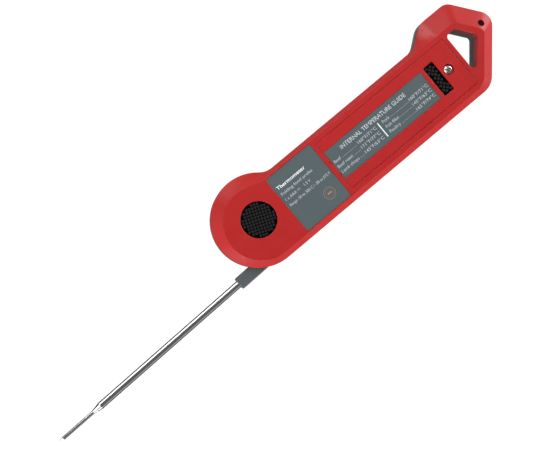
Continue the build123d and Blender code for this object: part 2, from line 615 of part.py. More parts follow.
with BuildPart() as negative_contact:
    block((WELL_X[0] + 0.1, WELL_X[0] + 0.4), (BAR_CENTRE_Y - 4, BAR_CENTRE_Y + 4), (WELL_FLOOR_Z + 0.2, CELL_Z + 4))
save(negative_contact, "negative_contact")

SPRING_WIRE = 0.35
SPRING_LENGTH = CELL_START_X - WELL_X[0] - 0.5 - 2 * SPRING_WIRE
with BuildPart() as negative_spring:
    spring_start = (WELL_X[0] + 0.45 + SPRING_WIRE, BAR_CENTRE_Y, CELL_Z)
    with BuildLine() as spring_line:
        Helix(
            pitch=SPRING_LENGTH / 3, height=SPRING_LENGTH, radius=3.6, center=spring_start,
            direction=(1, 0, 0), cone_angle=-12,
        )
    with BuildSketch(Plane(origin=spring_line.line @ 0, z_dir=spring_line.line % 0)):
        Circle(SPRING_WIRE)
    sweep()
save(negative_spring, "negative_spring")

# Two insulated wires down beside the well, from its ends to the board.
with BuildPart() as battery_leads:
    for lead_x in (WELL_X[0] - WELL_WALL - 0.8, WELL_X[1] + WELL_WALL + 0.8):
        disc((lead_x, BAR_CENTRE_Y), 0.5, (BOARD_LOW_Z + BOARD_THICK + 0.02, 13.0))
save(battery_leads, "battery_leads")

# ---- Circuit board and what is on it -----------------------------------------------------------
BOARD_HIGH_Z = BOARD_LOW_Z + BOARD_THICK

with BuildPart() as circuit_board:
    block(BOARD_X, BOARD_Y, (BOARD_LOW_Z, BOARD_HIGH_Z), corner=1)
save(circuit_board, "circuit_board")

ABOVE_BOARD = BOARD_HIGH_Z + 0.01
with BuildPart() as board_chips:
    block((38.8, 45.8), (-8.0, -1.0), (ABOVE_BOARD, ABOVE_BOARD + 1.2))
    block((39.5, 44.5), (3.0, 7.0), (ABOVE_BOARD, ABOVE_BOARD + 1.1))
save(board_chips, "board_chips")

with BuildPart() as board_capacitors:
    for column in range(4):
        for row in range(2):
            x = 35.4 + 2.8 * column
            y = -17.2 + 1.8 * row
            block((x, x + 1.6), (y, y + 0.8), (ABOVE_BOARD, ABOVE_BOARD + 0.7))
save(board_capacitors, "board_capacitors")

with BuildPart() as board_crystal:
    block((38.8, 44.3), (-12.6, -10.6), (ABOVE_BOARD, ABOVE_BOARD + 1.6), corner=0.9)
save(board_crystal, "board_crystal")

with BuildPart() as tilt_sensor:
    block((102.5, 105.5), (-16.5, -13.5), (ABOVE_BOARD, ABOVE_BOARD + 1.0))
save(tilt_sensor, "tilt_sensor")

with BuildPart() as fold_sensor:
    block((34.6, 37.6), (-5.2, -3.6), (ABOVE_BOARD, ABOVE_BOARD + 1.3))
save(fold_sensor, "fold_sensor")

with BuildPart() as snap_domes:
    for button_y in BUTTON_YS:
        disc((BUTTON_X, button_y), 3.0, (BOARD_LOW_Z - 0.26, BOARD_LOW_Z - 0.01))
save(snap_domes, "snap_domes")

# ---- Display -----------------------------------------------------------------------------------
with BuildPart() as display_window:
    block(grown(WINDOW_X, -0.15), grown(WINDOW_Y, -0.15), (0.3, 0.3 + WINDOW_THICK), corner=1.85)
    chamfer(display_window.faces().sort_by(Axis.Z)[0].edges(), length=0.2)
save(display_window, "display_window")

with BuildPart() as window_gasket:
    with BuildSketch(Plane.XY.offset(0.3 + WINDOW_THICK)):
        with Locations((middle(WINDOW_X), middle(WINDOW_Y))):
            RectangleRounded(width(WINDOW_X) - 0.6, width(WINDOW_Y) - 0.6, 1.7)
            RectangleRounded(width(WINDOW_X) - 4.6, width(WINDOW_Y) - 4.6, 1.0, mode=Mode.SUBTRACT)
    extrude(amount=0.1)
save(window_gasket, "window_gasket")

LCD_X = grown(WINDOW_X, -1.5)
LCD_Y = grown(WINDOW_Y, -1.5)
with BuildPart() as display_glass:
    block(LCD_X, LCD_Y, (FLOOR + 0.05, FLOOR + 1.3))
save(display_glass, "display_glass")

with BuildPart() as display_backlight:
    block(grown(LCD_X, -1.0), (LCD_Y[0] + 2.5, LCD_Y[1] - 1.0), (FLOOR + 1.32, FLOOR + 1.9))
save(display_backlight, "display_backlight")

with BuildPart() as display_connector:
    block(grown(LCD_X, -4.0), (LCD_Y[0] + 0.4, LCD_Y[0] + 2.0), (FLOOR + 1.31, BOARD_LOW_Z - 0.01))
save(display_connector, "display_connector")

with BuildPart() as display_frame:
    block(grown(LCD_X, 1.0), grown(LCD_Y, 1.0), (FLOOR + 0.01, BOARD_LOW_Z - 0.01))
    block(grown(LCD_X, 0.1), grown(LCD_Y, 0.1), (FLOOR, BOARD_LOW_Z), Mode.SUBTRACT)
save(display_frame, "display_frame")

# ---- Buttons -----------------------------------------------------------------------------------
BUTTON_FACE_Z = 0.25
BUTTON_FLANGE_Z = (FLOOR + SLIP, FLOOR + 0.6)


def push_button(centre):
    """A round cap with a flange inside the case and a short stem over its snap dome."""
    disc(centre, BUTTON_RADIUS, (BUTTON_FACE_Z, BUTTON_FLANGE_Z[1]))
    disc(centre, BUTTON_RADIUS + 0.9, BUTTON_FLANGE_Z)
    disc(centre, 1.5, (BUTTON_FLANGE_Z[1], BOARD_LOW_Z - 0.27 - BUTTON_TRAVEL - 0.04))


with BuildPart() as hold_button:
    push_button((BUTTON_X, BUTTON_YS[0]))
    chamfer(hold_button.faces().sort_by(Axis.Z)[0].edges(), length=0.3)
save(hold_button, "hold_button")

with BuildPart() as light_button:
    push_button((BUTTON_X, BUTTON_YS[1]))
    chamfer(light_button.faces().sort_by(Axis.Z)[0].edges(), length=0.3)
save(light_button, "light_button")
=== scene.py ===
"""Looks for the folding probe thermometer: materials, printed labels, grip pads, display and studio.

Metres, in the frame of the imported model: +X along the bar to the hanging loop, +Z out of the rear face.
Sizes of small features are written in millimetres and turned into metres by MM.
"""

import math

import bmesh
import bpy
from mathutils import Matrix, Vector


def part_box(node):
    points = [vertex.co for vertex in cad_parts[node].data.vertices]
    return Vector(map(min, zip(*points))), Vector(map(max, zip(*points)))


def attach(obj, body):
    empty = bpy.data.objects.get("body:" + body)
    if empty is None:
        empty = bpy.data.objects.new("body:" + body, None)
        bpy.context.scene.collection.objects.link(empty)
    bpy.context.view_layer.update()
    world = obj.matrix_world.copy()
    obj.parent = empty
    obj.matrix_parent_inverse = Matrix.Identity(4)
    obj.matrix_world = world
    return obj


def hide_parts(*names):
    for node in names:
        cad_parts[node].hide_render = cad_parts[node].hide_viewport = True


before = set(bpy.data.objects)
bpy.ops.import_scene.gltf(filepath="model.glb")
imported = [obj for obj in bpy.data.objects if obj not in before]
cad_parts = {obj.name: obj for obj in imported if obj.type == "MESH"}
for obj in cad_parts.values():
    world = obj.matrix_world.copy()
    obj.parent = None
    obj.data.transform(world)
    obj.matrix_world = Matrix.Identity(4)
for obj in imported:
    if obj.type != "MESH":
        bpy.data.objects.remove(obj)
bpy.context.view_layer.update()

MM = 0.001
scene = bpy.context.scene

# ---- Colours, linear ------------------------------------------------------------------------
RED = (0.42, 0.0127, 0.0127)
FRONT_GREY = (0.105, 0.115, 0.120)
BOOT_GREY = (0.088, 0.104, 0.108)
LABEL_GREY = (0.076, 0.102, 0.108)
INK_PALE = (0.52, 0.56, 0.60)
INK_WHITE = (0.84, 0.87, 0.88)
INK_TAN = (0.31, 0.205, 0.145)
# Ground of the grip pads: the film's own black, darkened far below it as painted shade in the grooves
# between the studs.
PAD_BLACK_AND_GROOVE_SHADE = (0.0002, 0.0002, 0.0003)
PAD_STUD = (0.0195, 0.0200, 0.0205)
STEEL = (0.69, 0.69, 0.69)


# ---- Material building ----------------------------------------------------------------------
# Places of a Mix node's colour sockets, which share their names with its other sockets.
COLOUR_A = 6
COLOUR_B = 7
COLOUR_RESULT = 2
BEVEL_SAMPLES = 6


class Finish:
    """A Principled material with its nodes wired by short calls."""

    def __init__(self, name, **sockets):
        self.material = bpy.data.materials.new(name)
        self.material.use_nodes = True
        self.tree = self.material.node_tree
        self.shader = self.tree.nodes["Principled BSDF"]
        self.output = self.tree.nodes["Material Output"]
        self.coordinates = self.tree.nodes.new("ShaderNodeTexCoord").outputs["Object"]
        for socket, value in sockets.items():
            self.set(socket.replace("_", " "), value)

    def set(self, socket, value):
        if isinstance(value, tuple) and len(value) == 3:
            value = (*value, 1)
        self.shader.inputs[socket].default_value = value

    def link(self, output, node_input):
        self.tree.links.new(output, node_input)

    def node(self, kind, **settings):
        made = self.tree.nodes.new(kind)
        for key, value in settings.items():
            setattr(made, key, value)
        return made

    def stretched(self, scale):
        """Object coordinates stretched by a factor on each axis."""
        mapping = self.node("ShaderNodeMapping")
        mapping.inputs["Scale"].default_value = scale
        self.link(self.coordinates, mapping.inputs["Vector"])
        return mapping.outputs["Vector"]

    def noise(self, size, detail=3, stretch=None):
        """Noise with features about `size` metres across, from 0 to 1."""
        texture = self.node("ShaderNodeTexNoise")
        texture.inputs["Scale"].default_value = 1 / size
        texture.inputs["Detail"].default_value = detail
        self.link(self.stretched(stretch) if stretch else self.coordinates, texture.inputs["Vector"])
        return texture.outputs["Fac"]

    def ranged(self, value, low, high, start=0.3, end=0.7):
        """A value's start..end mapped to low..high."""
        node = self.node("ShaderNodeMapRange")
        self.link(value, node.inputs["Value"])
        limits = {"From Min": start, "From Max": end, "To Min": low, "To Max": high}
        for socket, number in limits.items():
            node.inputs[socket].default_value = number
        return node.outputs["Result"]

    def mixed(self, factor, first, second):
        """Two colours mixed by a factor. A colour may be a tuple or another node's output."""
        node = self.node("ShaderNodeMix", data_type="RGBA")
        self.link(factor, node.inputs["Factor"])
        for place, colour in ((COLOUR_A, first), (COLOUR_B, second)):
            if isinstance(colour, tuple):
                node.inputs[place].default_value = (*colour, 1)
            else:
                self.link(colour, node.inputs[place])
        return node.outputs[COLOUR_RESULT]

    def colour(self, output):
        self.link(output, self.shader.inputs["Base Color"])

    def roughness(self, output):
        self.link(output, self.shader.inputs["Roughness"])

    def relief(self, heights, edge_radius=0.0):
        """Bump from (height output, metres) pairs, over edges rounded by edge_radius."""
        normal = None
        if edge_radius > 0:
            rounding = self.node("ShaderNodeBevel", samples=BEVEL_SAMPLES)
            rounding.inputs["Radius"].default_value = edge_radius
            normal = rounding.outputs["Normal"]
        for height, metres in heights:
            bump = self.node("ShaderNodeBump")
            bump.inputs["Distance"].default_value = metres
            self.link(height, bump.inputs["Height"])
            if normal is not None:
                self.link(normal, bump.inputs["Normal"])
            normal = bump.outputs["Normal"]
        self.link(normal, self.shader.inputs["Normal"])

    def edges(self, radius, sharpness=6.0):
        """1 on edges and corners, 0 on flat faces."""
        rounding = self.node("ShaderNodeBevel", samples=BEVEL_SAMPLES)
        rounding.inputs["Radius"].default_value = radius
        geometry = self.node("ShaderNodeNewGeometry")
        dot = self.node("ShaderNodeVectorMath", operation="DOT_PRODUCT")
        self.link(rounding.outputs["Normal"], dot.inputs[0])
        self.link(geometry.outputs["Normal"], dot.inputs[1])
        return self.ranged(dot.outputs["Value"], 1, 0, start=1 - 1 / sharpness, end=1.0)


def scaled(colour, factor):
    return tuple(channel * factor for channel in colour)


def moulded_plastic(
    name, colour, roughness, grain=0.22 * MM, depth=0.004 * MM, edge=0.25 * MM, specular=0.45
):
    """Satin moulded plastic: a fine spark-eroded grain, faint flow marks, and edges rubbed smoother and
    paler, the paleness partly wear and partly a painted highlight.
    """
    flow_size = 22 * MM
    flow_depth = 0.01 * MM
    smudge_size = 6 * MM
    # Share of paler colour on the edges: partly rubbed wear, partly a painted highlight.
    wear_and_highlight = 0.22
    wear_polish = 0.06
    finish = Finish(name, Specular_IOR_Level=specular)
    fine = finish.noise(grain, detail=2)
    flow = finish.noise(flow_size, detail=4)
    smudge = finish.noise(smudge_size, detail=5)
    tinted = finish.mixed(finish.ranged(flow, 0, 1), scaled(colour, 0.955), scaled(colour, 1.03))
    edge_wear_and_highlight = finish.edges(edge * 0.8)
    # Paler edges: partly rubbed wear, partly a painted highlight along them.
    paler_edges = finish.ranged(edge_wear_and_highlight, 0, wear_and_highlight, start=0.2, end=1.0)
    finish.colour(finish.mixed(paler_edges, tinted, scaled(colour, 1.1)))
    base = finish.ranged(smudge, roughness - 0.035, roughness + 0.045)
    polish = finish.node("ShaderNodeMath", operation="MULTIPLY_ADD")
    finish.link(edge_wear_and_highlight, polish.inputs[0])
    polish.inputs[1].default_value = -wear_polish
    finish.link(base, polish.inputs[2])
    finish.roughness(polish.outputs["Value"])
    finish.relief([(fine, depth), (flow, flow_depth)], edge)
    return finish.material


def rubbery(name, colour, roughness=0.62):
    """Rubber, wire insulation or fired ceramic: matte, with a dusty bloom."""
    finish = Finish(name, Specular_IOR_Level=0.35)
    bloom = finish.noise(1.2 * MM, detail=5)
    finish.colour(finish.mixed(finish.ranged(bloom, 0, 1), colour, scaled(colour, 1.7)))
    finish.roughness(finish.ranged(bloom, roughness - 0.06, roughness + 0.08))
    finish.relief([(finish.noise(0.15 * MM), 0.004 * MM)], 0.1 * MM)
    return finish.material


def metal(name, colour, roughness, lines=None, line_depth=0.0015 * MM, edge=0.08 * MM, variation=0.05):
    """Bare metal: fine lines along the axis that `lines` scales least, and a cloud of handling marks."""
    finish = Finish(name, Metallic=1.0)
    cloud = finish.noise(3 * MM, detail=4)
    scratches = finish.noise(0.12 * MM, detail=3, stretch=lines or (1, 1, 1))
    shade = finish.mixed(finish.ranged(scratches, 0, 1), scaled(colour, 0.93), scaled(colour, 1.05))
    finish.colour(finish.mixed(finish.ranged(cloud, 0, 0.35), shade, scaled(colour, 0.9)))
    finish.roughness(finish.ranged(scratches, roughness - variation / 2, roughness + variation))
    finish.relief([(scratches, line_depth)], edge)
    return finish.material


def printed_film(name, colour):
    """Printed polyester label film: flat, with a faintly speckled coat and a soft, even sheen."""
    finish = Finish(name, Specular_IOR_Level=0.3)
    speckle = finish.noise(0.25 * MM, detail=2)
    cloud = finish.noise(9 * MM, detail=3)
    tone = finish.mixed(finish.ranged(speckle, 0, 1), scaled(colour, 0.96), scaled(colour, 1.05))
    finish.colour(finish.mixed(finish.ranged(cloud, 0, 0.3), tone, scaled(colour, 1.12)))
    finish.roughness(finish.ranged(cloud, 0.5, 0.6))
    finish.relief([(speckle, 0.002 * MM)], 0.1 * MM)
    return finish.material


def ink(name, colour, roughness=0.55):
    """Screen-printed ink, slightly uneven in density."""
    finish = Finish(name, Specular_IOR_Level=0.3)
    density = finish.noise(0.18 * MM, detail=2)
    finish.colour(finish.mixed(finish.ranged(density, 0, 1), scaled(colour, 0.88), colour))
    finish.roughness(finish.ranged(density, roughness - 0.05, roughness + 0.05))
    finish.relief([(density, 0.002 * MM)])
    return finish.material


def glassy(name, colour, transmission, roughness=0.04):
    """Clear or milky polycarbonate with hairline scuffs."""
    finish = Finish(name, IOR=1.58, Transmission_Weight=transmission)
    scuffs = finish.noise(0.4 * MM, detail=4, stretch=(0.15, 1, 1))
    finish.colour(finish.mixed(finish.ranged(scuffs, 0, 1), colour, scaled(colour, 0.97)))
    finish.roughness(finish.ranged(scuffs, roughness, roughness + 0.05, 0.55, 0.75))
    finish.relief([(scuffs, 0.0008 * MM)], 0.15 * MM)
    return finish.material


red_plastic = moulded_plastic("red_plastic", RED, 0.36)
front_plastic = moulded_plastic("front_plastic", FRONT_GREY, 0.42)
boot_plastic = moulded_plastic(
    "boot_plastic", BOOT_GREY, 0.46, grain=0.3 * MM, depth=0.007 * MM, specular=0.25
)
button_plastic = moulded_plastic("button_grey", (0.30, 0.33, 0.35), 0.4)
white_plastic = moulded_plastic("frame_white", (0.66, 0.67, 0.67), 0.45)
natural_nylon = moulded_plastic("washer_nylon", (0.66, 0.65, 0.60), 0.4)
chip_plastic = moulded_plastic("chip_black", (0.015, 0.015, 0.016), 0.5, edge=0.08 * MM)
label_film = printed_film("label_film", LABEL_GREY)
ink_pale = ink("ink_pale", INK_PALE)
ink_white = ink("ink_white", INK_WHITE)
ink_tan = ink("ink_tan", INK_TAN)
ink_black = ink("ink_black", (0.012, 0.013, 0.014), 0.4)
seal_rubber = rubbery("seal_rubber", (0.018, 0.018, 0.02))
gasket_foam = rubbery("gasket_foam", (0.01, 0.01, 0.011), 0.7)
lead_sleeve = rubbery("lead_yellow", (0.55, 0.36, 0.04), 0.45)
red_wire = rubbery("wire_red", (0.42, 0.015, 0.015), 0.45)
zebra_rubber = rubbery("zebra_rubber", (0.30, 0.10, 0.10), 0.5)
# Stretch of the polishing lines: along the probe, and along the upright pivot sleeve.
PROBE_LINES = (0.03, 1, 1)
SLEEVE_LINES = (1, 1, 0.05)
probe_steel = metal("probe_steel", STEEL, 0.13, lines=PROBE_LINES)
screw_steel = metal("screw_steel", (0.70, 0.68, 0.64), 0.2, line_depth=0.003 * MM)
spring_steel = metal("spring_steel", (0.60, 0.57, 0.52), 0.25)
magnet_nickel = metal("magnet", (0.60, 0.59, 0.57), 0.2)
sleeve_brass = metal("sleeve_brass", (0.70, 0.50, 0.22), 0.22, lines=SLEEVE_LINES)
cell_can = metal("cell_can", (0.64, 0.63, 0.60), 0.24)
can_metal = metal("can_metal", (0.64, 0.64, 0.65), 0.2)
thermocouple_alloy = metal("thermocouple_alloy", (0.45, 0.42, 0.38), 0.3)
ceramic_tan = rubbery("ceramic_tan", (0.36, 0.25, 0.15), 0.5)
window_clear = glassy("window_clear", (0.93, 0.95, 0.96), 1.0)
backlight_white = glassy("backlight_white", (0.80, 0.82, 0.82), 0.3, 0.3)


def solder_mask():
    """Green board lacquer with copper tracks showing faintly through it."""
    finish = Finish("board_green", Specular_IOR_Level=0.5, Coat_Weight=0.4, Coat_Roughness=0.15)
    tracks = finish.node("ShaderNodeTexBrick")
    tracks.inputs["Scale"].default_value = 1 / (4 * MM)
    tracks.inputs["Mortar Size"].default_value = 0.03
    tracks.inputs["Color1"].default_value = (0.014, 0.10, 0.035, 1)
    tracks.inputs["Color2"].default_value = (0.018, 0.12, 0.045, 1)
    tracks.inputs["Mortar"].default_value = (0.04, 0.22, 0.07, 1)
    finish.link(finish.coordinates, tracks.inputs["Vector"])
    finish.colour(tracks.outputs["Color"])
    finish.roughness(finish.ranged(finish.noise(2 * MM), 0.25, 0.4))
    finish.relief([(tracks.outputs["Fac"], -0.01 * MM)], 0.1 * MM)
    return finish.material


def display_panel():
    """Reflective liquid crystal glass: grey green, with the ghost of its electrode rows."""
    finish = Finish("lcd_glass", Specular_IOR_Level=0.5, Coat_Weight=0.6, Coat_Roughness=0.08)
    rows = finish.node("ShaderNodeTexWave", bands_direction="Y")
    rows.inputs["Scale"].default_value = 1 / (9 * MM)
    finish.link(finish.coordinates, rows.inputs["Vector"])
    cloud = finish.noise(14 * MM)
    green = finish.mixed(finish.ranged(cloud, 0, 1), (0.26, 0.30, 0.23), (0.31, 0.35, 0.27))
    finish.colour(finish.mixed(finish.ranged(rows.outputs["Fac"], 0, 0.08), green, (0.2, 0.24, 0.19)))
    finish.roughness(finish.ranged(cloud, 0.3, 0.4))
    finish.relief([(rows.outputs["Fac"], 0.001 * MM)])
    return finish.material


def cell_sleeve(start_x, end_x):
    """Shrink sleeve of the cell: dark blue with a copper band at the positive end."""
    finish = Finish("cell_wrap", Specular_IOR_Level=0.5, Coat_Weight=0.5, Coat_Roughness=0.1)
    split = finish.node("ShaderNodeSeparateXYZ")
    finish.link(finish.coordinates, split.inputs["Vector"])
    blue_share = 0.72
    blur = 0.1 * MM
    band_x = start_x + blue_share * (end_x - start_x)
    step = finish.ranged(split.outputs["X"], 0, 1, start=band_x, end=band_x + blur)
    rub = finish.noise(2 * MM, detail=5)
    blue = finish.mixed(finish.ranged(rub, 0, 1), (0.020, 0.045, 0.13), (0.026, 0.055, 0.15))
    finish.colour(finish.mixed(step, blue, (0.55, 0.26, 0.10)))
    finish.roughness(finish.ranged(rub, 0.22, 0.34))
    finish.relief([(rub, 0.004 * MM)], 0.2 * MM)
    return finish.material


def grip_film(name, colour, roughness):
    """Rubbery grip film with a fine fibrous grain, a little paler where its edges are rubbed."""
    finish = Finish(name, Specular_IOR_Level=0.02)
    fibres = finish.noise(0.16 * MM, detail=4)
    paler_edges = finish.edges(0.06 * MM, sharpness=4)
    dark = finish.mixed(finish.ranged(fibres, 0, 1), scaled(colour, 0.8), scaled(colour, 1.3))
    finish.colour(finish.mixed(finish.ranged(paler_edges, 0, 0.5), dark, scaled(colour, 2.0)))
    finish.roughness(finish.ranged(fibres, roughness - 0.06, roughness + 0.08))
    finish.relief([(fibres, 0.006 * MM)], 0.05 * MM)
    return finish.material


pad_film = grip_film("pad_film", PAD_STUD, 0.5)
# The plate between the studs: the same film, near-black as painted shade in the grooves.
pad_ground_groove_shade = grip_film("pad_ground_groove_shade", PAD_BLACK_AND_GROOVE_SHADE, 0.6)

NODE_FINISHES = {
    "rear_shell": red_plastic,
    "battery_cover": red_plastic,
    "front_shell": front_plastic,
    "probe_hub": boot_plastic,
    "probe_tube": probe_steel,
    "rear_label": label_film,
    "guide_label": label_film,
    "battery_cover_screw": screw_steel,
    "case_screws": screw_steel,
    "pivot_screw": screw_steel,
    "cover_screw_washer": natural_nylon,
    "friction_washer": natural_nylon,
    "shell_seal": seal_rubber,
    "battery_seal": seal_rubber,
    "hub_seals": seal_rubber,
    "window_gasket": gasket_foam,
    "round_magnet": magnet_nickel,
    "bar_magnet": magnet_nickel,
    "hub_magnet": magnet_nickel,
    "pivot_sleeve": sleeve_brass,
    "thermocouple_wires": thermocouple_alloy,
    "thermocouple_junction": thermocouple_alloy,
    "probe_lead": lead_sleeve,
    "board_lead": lead_sleeve,
    "battery_leads": red_wire,
    "aaa_cell": cell_can,
    "aaa_cell_sleeve": cell_sleeve(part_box("aaa_cell")[0].x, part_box("aaa_cell")[1].x),
    "positive_contact": spring_steel,
    "negative_contact": spring_steel,
    "negative_spring": spring_steel,
    "snap_domes": spring_steel,
    "circuit_board": solder_mask(),
    "board_chips": chip_plastic,
    "tilt_sensor": chip_plastic,
    "fold_sensor": chip_plastic,
    "board_capacitors": ceramic_tan,
    "board_crystal": can_metal,
    "display_window": window_clear,
    "display_glass": display_panel(),
    "display_backlight": backlight_white,
    "display_connector": zebra_rubber,
    "display_frame": white_plastic,
    "hold_button": button_plastic,
    "light_button": button_plastic,
}
for node_name, material in NODE_FINISHES.items():
    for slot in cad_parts[node_name].material_slots:
        slot.material = material


# ---- Mesh pieces ----------------------------------------------------------------------------
def add_piece(name, mesh_builder, materials, body):
    """Turn a bmesh into an object that rides on a body and takes the finishes it is given."""
    mesh = bpy.data.meshes.new(name)
    mesh_builder.to_mesh(mesh)
    mesh_builder.free()
    for material in materials:
        mesh.materials.append(material)
    piece = bpy.data.objects.new(name, mesh)
    scene.collection.objects.link(piece)
    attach(piece, body)
    return piece


INK_THICKNESS = 0.02 * MM
# Height of a line of the built-in font at size 1: its capitals' 0.68 and a little room.
LINE_HEIGHT = 0.73
# Places in a print's list of inks.
PALE = 0
WHITE = 1
TAN = 2


class Print:
    """Flat printed marks gathered into one bmesh, on a surface at height z.

    `up` is +1 for a print that faces +Z and reads towards +X, and -1 for one that faces -Z.
    """

    def __init__(self, z, up=1):
        self.z = z
        self.up = up
        self.marks = bmesh.new()

    def prism(self, outline, ink_index=PALE, inner=None):
        """A thin solid from a closed outline of (x, y) points; inner is a matching hole outline."""
        loops = [outline] if inner is None else [outline, inner]
        top_z = self.z + self.up * INK_THICKNESS
        low, high = [], []
        for points in loops:
            low.append([self.marks.verts.new((x, y, self.z)) for x, y in points])
            high.append([self.marks.verts.new((x, y, top_z)) for x, y in points])
        count = len(outline)
        faces = []
        if inner is None:
            faces.append(self.marks.faces.new(high[0]))
            faces.append(self.marks.faces.new(low[0][::-1]))
        for i in range(count):
            j = (i + 1) % count
            faces.append(self.marks.faces.new((low[0][i], low[0][j], high[0][j], high[0][i])))
            if inner is not None:
                faces.append(self.marks.faces.new((low[1][j], low[1][i], high[1][i], high[1][j])))
                faces.append(self.marks.faces.new((high[0][i], high[0][j], high[1][j], high[1][i])))
                faces.append(self.marks.faces.new((low[0][j], low[0][i], low[1][i], low[1][j])))
        for face in faces:
            face.material_index = ink_index

    def bar(self, x, y, width, height, ink_index=PALE):
        """A rectangle by its centre."""
        half_w, half_h = width / 2, height / 2
        corners = [(-half_w, -half_h), (half_w, -half_h), (half_w, half_h), (-half_w, half_h)]
        self.prism([(x + dx, y + dy) for dx, dy in corners], ink_index)

    def ring(self, x, y, outer, inner, ink_index=PALE, steps=48):
        """A circle's band, between two radii."""
        turns = [2 * math.pi * i / steps for i in range(steps)]
        outline = [(x + outer * math.cos(a), y + outer * math.sin(a)) for a in turns]
        hole = [(x + inner * math.cos(a), y + inner * math.sin(a)) for a in turns]
        self.prism(outline, ink_index, hole)

    def text(self, words, x, y, height, width=None, align="LEFT", weight=0.0, ink_index=PALE):
        """Lettering in a line `height` tall and centred on y. With a width it is stretched to fit."""
        curve = bpy.data.curves.new("lettering", "FONT")
        curve.body = words
        curve.size = 1.0
        curve.offset = weight
        curve.resolution_u = 3
        writer = bpy.data.objects.new("lettering", curve)
        scene.collection.objects.link(writer)
        bpy.context.view_layer.update()
        mesh = bpy.data.meshes.new_from_object(writer)
        low_x = min(v.co.x for v in mesh.vertices)
        high_x = max(v.co.x for v in mesh.vertices)
        scale_y = height / LINE_HEIGHT
        scale_x = scale_y if width is None else width / (high_x - low_x)
        length = scale_x * (high_x - low_x)
        left = {"LEFT": x, "CENTER": x - length / 2, "RIGHT": x - length}[align]
        top_z = self.z + self.up * INK_THICKNESS
        place = Matrix.Translation((left - scale_x * low_x, y - height / 2, top_z))
        mesh.transform(place @ Matrix.Diagonal((scale_x, scale_y, 1, 1)))
        lettering = bmesh.new()
        lettering.from_mesh(mesh)
        bmesh.ops.remove_doubles(lettering, verts=lettering.verts, dist=1e-7)
        extruded = bmesh.ops.extrude_face_region(lettering, geom=lettering.faces[:])
        moved = [item for item in extruded["geom"] if isinstance(item, bmesh.types.BMVert)]
        bmesh.ops.translate(lettering, verts=moved, vec=(0, 0, -self.up * INK_THICKNESS))
        bmesh.ops.recalc_face_normals(lettering, faces=lettering.faces[:])
        for face in lettering.faces:
            face.material_index = ink_index
        joined = bpy.data.meshes.new("lettering")
        lettering.to_mesh(joined)
        lettering.free()
        self.marks.from_mesh(joined)
        bpy.data.objects.remove(writer)
        bpy.data.meshes.remove(mesh)
        bpy.data.meshes.remove(joined)
        return length

    def leader(self, start_x, end_x, y, pitch, dot):
        """A row of square dots between a name and its value."""
        count = int((end_x - start_x) / pitch)
        for i in range(count):
            self.bar(start_x + (i + 0.5) * pitch, y, dot, dot)

    def finish(self, name, inks, body, slot_name):
        bmesh.ops.recalc_face_normals(self.marks, faces=self.marks.faces[:])
        add_piece(name, self.marks, inks, body)


# ---- Rear label: a generic rating plate ---------------------------------------------------------
def rear_label_print():
    """A title, three lines of facts with a direct current sign, and a ringed sign of a cell."""
    low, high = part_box("rear_label")
    print_ = Print(high.z)
    left = low.x + 1.35 * MM
    print_.text(
        "Thermometer", left, y=5.3 * MM, height=1.75 * MM, width=16.0 * MM, weight=0.014, ink_index=WHITE
    )
    facts = (
        # words, then y, letter height and width in millimetres
        ("Folding food probe", 2.1, 1.45, 17.8),
        ("1 x AAA        1.5 V", -0.95, 1.45, 14.3),
        ("Range -50 to 300 C / -58 to 572 F", -4.05, 1.4, 23.2),
    )
    for words, y, height, width in facts:
        print_.text(words, left, y * MM, height * MM, width=width * MM)

    # The direct current sign, a line over three dashes, stands in the gap after the cell's size.
    sign_x = left + 7.6 * MM
    stroke = 0.17 * MM
    print_.bar(sign_x, -0.75 * MM, 1.5 * MM, stroke)
    for step in (-1, 0, 1):
        print_.bar(sign_x + step * 0.55 * MM, -1.25 * MM, 0.36 * MM, stroke)

    icon_x = low.x + 18.6 * MM
    icon_y = low.y + 7.0 * MM
    for outer, inner in ((2.9, 2.68), (2.0, 1.88)):
        print_.ring(icon_x, icon_y, outer * MM, inner * MM, ink_index=TAN)
    # The cell in the rings: its can, then its positive end.
    print_.bar(icon_x, icon_y, 2.1 * MM, 0.95 * MM, ink_index=TAN)
    print_.bar(icon_x + 1.22 * MM, icon_y, 0.3 * MM, 0.45 * MM, ink_index=TAN)
    print_.finish("rear_label_print", [ink_pale, ink_white, ink_tan], "case", "label_film")


